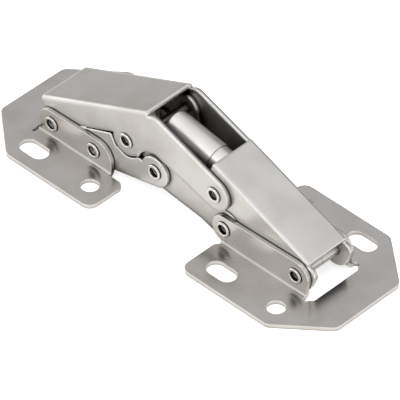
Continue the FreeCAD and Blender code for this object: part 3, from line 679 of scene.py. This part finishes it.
# %% [markdown]
# ## The shade below the hinge
#
# The photograph shows the hinge on plain white, with no clear shadow. Light alone would leave the
# hollow round the piston grey, because its bright sheets would mirror white paper through the open
# underside. On the real table the paper there lies in the hinge's own shade. So the paper is dark
# to a mirror in a soft-edged strip below the covers, and white to the eye everywhere. A Light Path
# node tells the two kinds of ray apart, and the distance from the strip is worked out on each side
# of the middle at once, by taking the absolute value of the place.

# %% Find the shade
SHADE_HALF_LENGTH = 32.0     # in mm, along the hinge
SHADE_HALF_WIDTH = 9.0
SHADE_HALF_HEIGHT = 1.0      # past the paper's own height, so that height doesn't count
SHADE_SOFTNESS = 10.0        # how far the edge of the shade spreads, in mm

strip = Vector((SHADE_HALF_LENGTH, SHADE_HALF_WIDTH, SHADE_HALF_HEIGHT)) * MM
white = bpy.data.materials.new("white_sweep")
white.use_nodes = True
tree = white.node_tree
tree.nodes.clear()
ray = add(tree, "ShaderNodeLightPath")
mirrored = add(tree, "ShaderNodeMath", {"operation": "MAXIMUM"},
               {0: ray.outputs["Is Glossy Ray"], 1: ray.outputs["Is Transmission Ray"]})
place = add(tree, "ShaderNodeTexCoord")
outside = add(tree, "ShaderNodeVectorMath", {"operation": "ABSOLUTE"},
              {0: place.outputs["Object"]})
outside = add(tree, "ShaderNodeVectorMath", {"operation": "SUBTRACT", 1: strip},
              {0: outside.outputs["Vector"]})
outside = add(tree, "ShaderNodeVectorMath", {"operation": "MAXIMUM", 1: (0.0, 0.0, 0.0)},
              {0: outside.outputs["Vector"]})
outside = add(tree, "ShaderNodeVectorMath", {"operation": "LENGTH"}, {0: outside.outputs["Vector"]})
lit = add(tree, "ShaderNodeMapRange",
          {"interpolation_type": "SMOOTHSTEP", "From Max": SHADE_SOFTNESS * MM},
          {"Value": outside.outputs["Value"]})
mirror_lit = add(tree, "ShaderNodeMath", {"operation": "MULTIPLY"},
                 {0: mirrored.outputs[0], 1: lit.outputs["Result"]})
print("shade below the hinge:", 2 * SHADE_HALF_LENGTH, "by", 2 * SHADE_HALF_WIDTH, "mm")

# %% [markdown]
# ## White paper
#
# The floor is a wide sheet of pale paper. To look white under plain lamps it adds a little light of
# its own, but only to the eye and to mirrors, so the hinge still throws a faint shadow on it. In
# mirrors the glow is slightly warm, which gives the plates the tint of nickel. More lamp power
# would also make the paper white, but it would bleach the metal.

# %% Lay the floor
GLOW_FOR_EYE = 0.7
GLOW_IN_MIRRORS = 0.4
PAPER = "#EFEFEE"
PAPER_IN_SHADE = "#1A1918"
GLOW_TINT = "#FFF8EF"
FLOOR_WIDTH = 12.0       # in metres
FLOOR_DROP = 0.05        # in mm below the plates, so that no two faces fight

mirror_glow = add(tree, "ShaderNodeMath", {"operation": "MULTIPLY", 1: GLOW_IN_MIRRORS},
                  {0: mirror_lit.outputs[0]})
glow_level = add(tree, "ShaderNodeMath", {"operation": "MULTIPLY_ADD", 1: GLOW_FOR_EYE},
                 {0: ray.outputs["Is Camera Ray"], 2: mirror_glow.outputs[0]})
mirror_dark = add(tree, "ShaderNodeMath", {"operation": "SUBTRACT"},
                  {0: mirrored.outputs[0], 1: mirror_lit.outputs[0]})
pale = add(tree, "ShaderNodeMath", {"operation": "SUBTRACT", 0: 1.0}, {1: mirror_dark.outputs[0]})
paper_tone = add(tree, "ShaderNodeMix",
                 {"data_type": "RGBA", FIRST: colour(PAPER_IN_SHADE), SECOND: colour(PAPER)},
                 {FACTOR: pale.outputs[0]})
paper = add(tree, "ShaderNodeBsdfDiffuse", (), {"Color": paper_tone.outputs[MIXED]})
glow_tone = add(tree, "ShaderNodeMix",
                {"data_type": "RGBA", FIRST: colour(GLOW_TINT), SECOND: colour("#FFFFFF")},
                {FACTOR: ray.outputs["Is Camera Ray"]})
glow = add(tree, "ShaderNodeEmission", (),
           {"Color": glow_tone.outputs[MIXED], "Strength": glow_level.outputs[0]})
both = add(tree, "ShaderNodeAddShader", (), {0: paper.outputs["BSDF"], 1: glow.outputs["Emission"]})
add(tree, "ShaderNodeOutputMaterial", (), {"Surface": both.outputs["Shader"]})

half = FLOOR_WIDTH / 2
sheet = bpy.data.meshes.new("studio_floor")
sheet.from_pydata([(x, y, -FLOOR_DROP * MM) for x, y in
                   ((-half, -half), (half, -half), (half, half), (-half, half))],
                  [], [(0, 1, 2, 3)])
sheet.materials.append(white)
floor = bpy.data.objects.new("studio_floor", sheet)
bpy.context.scene.collection.objects.link(floor)
print("floor laid:", FLOOR_WIDTH, "m wide")

# %% [markdown]
# ## The room that the metal mirrors
#
# Metal shows its surroundings, so the room is what gives a plated sheet its tone. A picture of a
# real studio would bring sharp shapes that the photograph doesn't show. This room is white all
# round, as in a light tent, except for three soft patches at the back and the left: a pale grey
# wall that the flat plates mirror, a darker end of it that the long cover mirrors, and a dark
# doorway low at the back that shades the far side of the piston. The dot product of the looking
# direction with the middle of a patch says how far into it a reflection points. The eye itself
# sees plain white.

# %% Build the room
# the direction of a patch's middle, the cosines at its rim and its core, and its tone
ROOM_PATCHES = (((-0.45, 0.80, 0.40), 0.35, 0.75, "#D3D3D4"),
                ((-0.83, 0.45, 0.24), 0.88, 0.985, "#A0A0A0"),
                ((-0.20, 0.95, 0.22), 0.84, 0.97, "#4C4B49"))

world = bpy.data.worlds.new("light_tent")
bpy.context.scene.world = world
world.use_nodes = True
tree = world.node_tree
tree.nodes.clear()
place = add(tree, "ShaderNodeTexCoord")
room = None
for middle, at_rim, at_core, shade in ROOM_PATCHES:
    lean = add(tree, "ShaderNodeVectorMath",
               {"operation": "DOT_PRODUCT", 1: Vector(middle).normalized()},
               {0: place.outputs["Generated"]})
    inside = add(tree, "ShaderNodeMapRange",
                 {"interpolation_type": "SMOOTHSTEP", "From Min": at_rim, "From Max": at_core},
                 {"Value": lean.outputs["Value"]})
    links = {FACTOR: inside.outputs["Result"]}
    if room:
        links[FIRST] = room.outputs[MIXED]
    room = add(tree, "ShaderNodeMix",
               {"data_type": "RGBA", FIRST: colour("#FFFFFF"), SECOND: colour(shade)}, links)
ray = add(tree, "ShaderNodeLightPath")
seen = add(tree, "ShaderNodeMix", {"data_type": "RGBA", SECOND: colour("#FFFFFF")},
           {FACTOR: ray.outputs["Is Camera Ray"], FIRST: room.outputs[MIXED]})
sky = add(tree, "ShaderNodeBackground", {"Strength": 1.0}, {"Color": seen.outputs[MIXED]})
add(tree, "ShaderNodeOutputWorld", (), {"Surface": sky.outputs["Background"]})
print("patches in the room:", len(ROOM_PATCHES))

# %% [markdown]
# ## Lamps
#
# Three wide, weak soft boxes add the long highlight on the piston and the glints on the bends. A
# bare bulb would draw hard points on every rivet. They hang above, in front and at the left, and
# all look at the middle of the hinge.

# %% Hang the lamps
LAMP_WIDTH = 0.6         # in metres


def lamp(name, power, where):
    """A round soft box that looks at the middle of the hinge."""
    light = bpy.data.lights.new(name, "AREA")
    light.energy = power
    light.shape = "DISK"
    light.size = LAMP_WIDTH
    item = bpy.data.objects.new(name, light)
    bpy.context.scene.collection.objects.link(item)
    turn = (-Vector(where)).to_track_quat("-Z", "Y")
    item.matrix_world = Matrix.Translation(Vector(where)) @ turn.to_matrix().to_4x4()
    print(name, "gives", power, "W")


lamp("soft_box_above", 0.65, (0.25, 0.4, 1.1))
lamp("soft_box_front", 1.4, (-0.04, -1.05, 0.77))
lamp("soft_box_left", 1.4, (-1.17, -0.51, 0.25))
